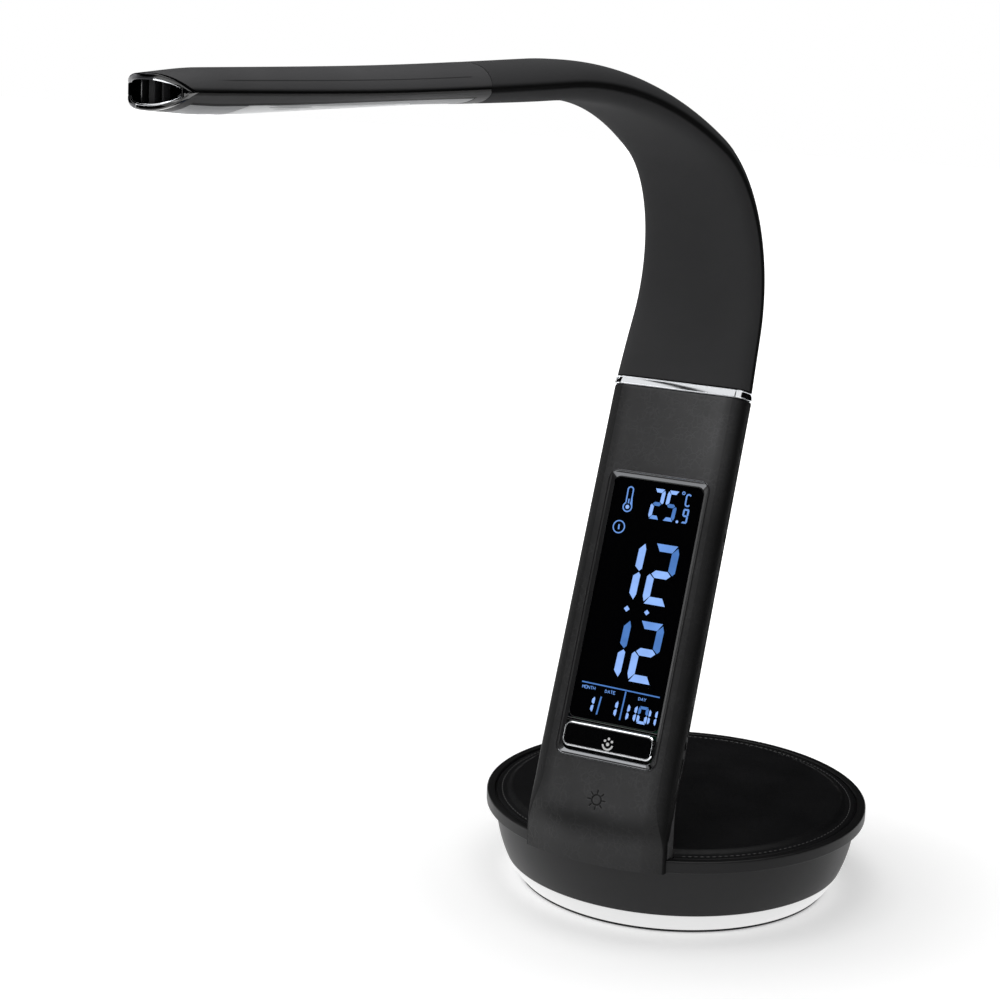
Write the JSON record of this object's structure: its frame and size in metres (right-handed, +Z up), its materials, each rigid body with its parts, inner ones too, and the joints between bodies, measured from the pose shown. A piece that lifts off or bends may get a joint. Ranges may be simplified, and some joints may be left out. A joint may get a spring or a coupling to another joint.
{
  "type": "desk lamp",
  "caption": "LED desk lamp: round weighted base with a leatherette pad and light ring, leaning stand with a clock display and snooze bar, flexible neck and slim light head.",
  "frame": {"origin": "centre of the base's underside, where the lamp stands on the desk", "axes": "+Z up; the display and the head face -Y; +X is across the stand"},
  "size_m": [0.184, 0.5106, 0.4009],
  "materials": {
    "rubber": "matt",
    "satin_black": "satin moulded plastic",
    "steel": "plain",
    "white_diffuser": "translucent white",
    "circuit_board": "solder mask",
    "fibre_board": "pressed board",
    "pad_leatherette": "smooth, satin, stitched rim",
    "iron": "cast",
    "gloss_black": "high gloss",
    "stand_leatherette": "fine wrinkled grain",
    "frame_grey": "satin metallic grey",
    "display_blue": "lit segments on black",
    "copper": "plain",
    "chrome": "polished",
    "soft_sleeve": "matt soft touch",
    "panel_silver": "silver white"
  },
  "bodies": {
    "base": {"sole": "rubber", "bottom_plate": "satin_black", "base_screw_1": "steel", "base_screw_2": "steel", "base_screw_3": "steel", "base_screw_4": "steel", "light_ring": "white_diffuser", "light_ring_board": "circuit_board", "skirt": "satin_black", "rim_tray": "satin_black", "pad_board": "fibre_board", "leatherette_pad": "pad_leatherette", "ballast_weight": "iron", "mounting_block": "iron", "bracket_screw_1": "steel", "bracket_screw_2": "steel", "power_board": "circuit_board", "backup_cell": "steel", "alarm_sounder": "satin_black", "dc_inlet": "gloss_black", "stand_bracket": "steel", "stand_front": "stand_leatherette", "stand_back": "stand_leatherette", "display_frame": "frame_grey", "display_window": "gloss_black", "display_glass": "display_blue", "display_backlight": "white_diffuser", "clock_board": "circuit_board", "touch_sensor": "copper", "chrome_ring": "chrome", "neck_socket": "satin_black", "sleeve_root": "soft_sleeve", "spine_root": "steel"},
    "neck_1": {"sleeve_1": "soft_sleeve", "spine_1": "steel"},
    "neck_2": {"sleeve_2": "soft_sleeve", "spine_2": "steel"},
    "neck_3": {"sleeve_3": "soft_sleeve", "spine_3": "steel"},
    "neck_4": {"sleeve_4": "soft_sleeve", "spine_4": "steel"},
    "neck_5": {"sleeve_5": "soft_sleeve", "spine_5": "steel"},
    "head": {"sleeve_tip": "soft_sleeve", "spine_tip": "steel", "head_top": "satin_black", "head_bottom": "satin_black", "light_panel": "panel_silver", "head_led_board": "circuit_board", "heat_spreader": "steel", "nose_trim": "gloss_black", "nose_plug": "gloss_black"},
    "snooze": {"snooze_bar": "gloss_black"},
    "key_1": {"clock_key_1": "satin_black"},
    "key_2": {"clock_key_2": "satin_black"},
    "key_3": {"clock_key_3": "satin_black"}
  },
  "joints": [
    {"name": "neck_bend_1", "type": "hinge", "parent": "base", "child": "neck_1", "pos_m": [0, -0.00162, 0.27], "axis": [1, 0, 0], "range_deg": [-8, 5]},
    {"name": "neck_bend_2", "type": "hinge", "parent": "neck_1", "child": "neck_2", "pos_m": [0, 0.00013, 0.31883], "axis": [1, 0, 0], "range_deg": [-8, 5]},
    {"name": "neck_bend_3", "type": "hinge", "parent": "neck_2", "child": "neck_3", "pos_m": [0, -0.03155, 0.35603], "axis": [1, 0, 0], "range_deg": [-8, 5]},
    {"name": "neck_bend_4", "type": "hinge", "parent": "neck_3", "child": "neck_4", "pos_m": [0, -0.07747, 0.37567], "axis": [1, 0, 0], "range_deg": [-8, 5]},
    {"name": "neck_bend_5", "type": "hinge", "parent": "neck_4", "child": "neck_5", "pos_m": [0, -0.12607, 0.38715], "axis": [1, 0, 0], "range_deg": [-8, 5]},
    {"name": "neck_bend_6", "type": "hinge", "parent": "neck_5", "child": "head", "pos_m": [0, -0.17592, 0.39031], "axis": [1, 0, 0], "range_deg": [-8, 5]},
    {"name": "snooze_press", "type": "slide", "parent": "base", "child": "snooze", "axis": [0, 0.9348, -0.3551], "range_m": [0, 0.0008], "stiffness_N_per_m": 900, "springref_m": -0.0006},
    {"name": "key_1_press", "type": "slide", "parent": "base", "child": "key_1", "axis": [0, -0.9348, 0.3551], "range_m": [0, 0.0005], "stiffness_N_per_m": 900, "springref_m": -0.0005},
    {"name": "key_2_press", "type": "slide", "parent": "base", "child": "key_2", "axis": [0, -0.9348, 0.3551], "range_m": [0, 0.0005], "stiffness_N_per_m": 900, "springref_m": -0.0005},
    {"name": "key_3_press", "type": "slide", "parent": "base", "child": "key_3", "axis": [0, -0.9348, 0.3551], "range_m": [0, 0.0005], "stiffness_N_per_m": 900, "springref_m": -0.0005}
  ],
  "couplings": [
    {"joint": "neck_bend_2", "follows": "neck_bend_1", "ratio": 1},
    {"joint": "neck_bend_3", "follows": "neck_bend_1", "ratio": 1},
    {"joint": "neck_bend_4", "follows": "neck_bend_1", "ratio": 1},
    {"joint": "neck_bend_5", "follows": "neck_bend_1", "ratio": 1},
    {"joint": "neck_bend_6", "follows": "neck_bend_1", "ratio": 1}
  ]
}
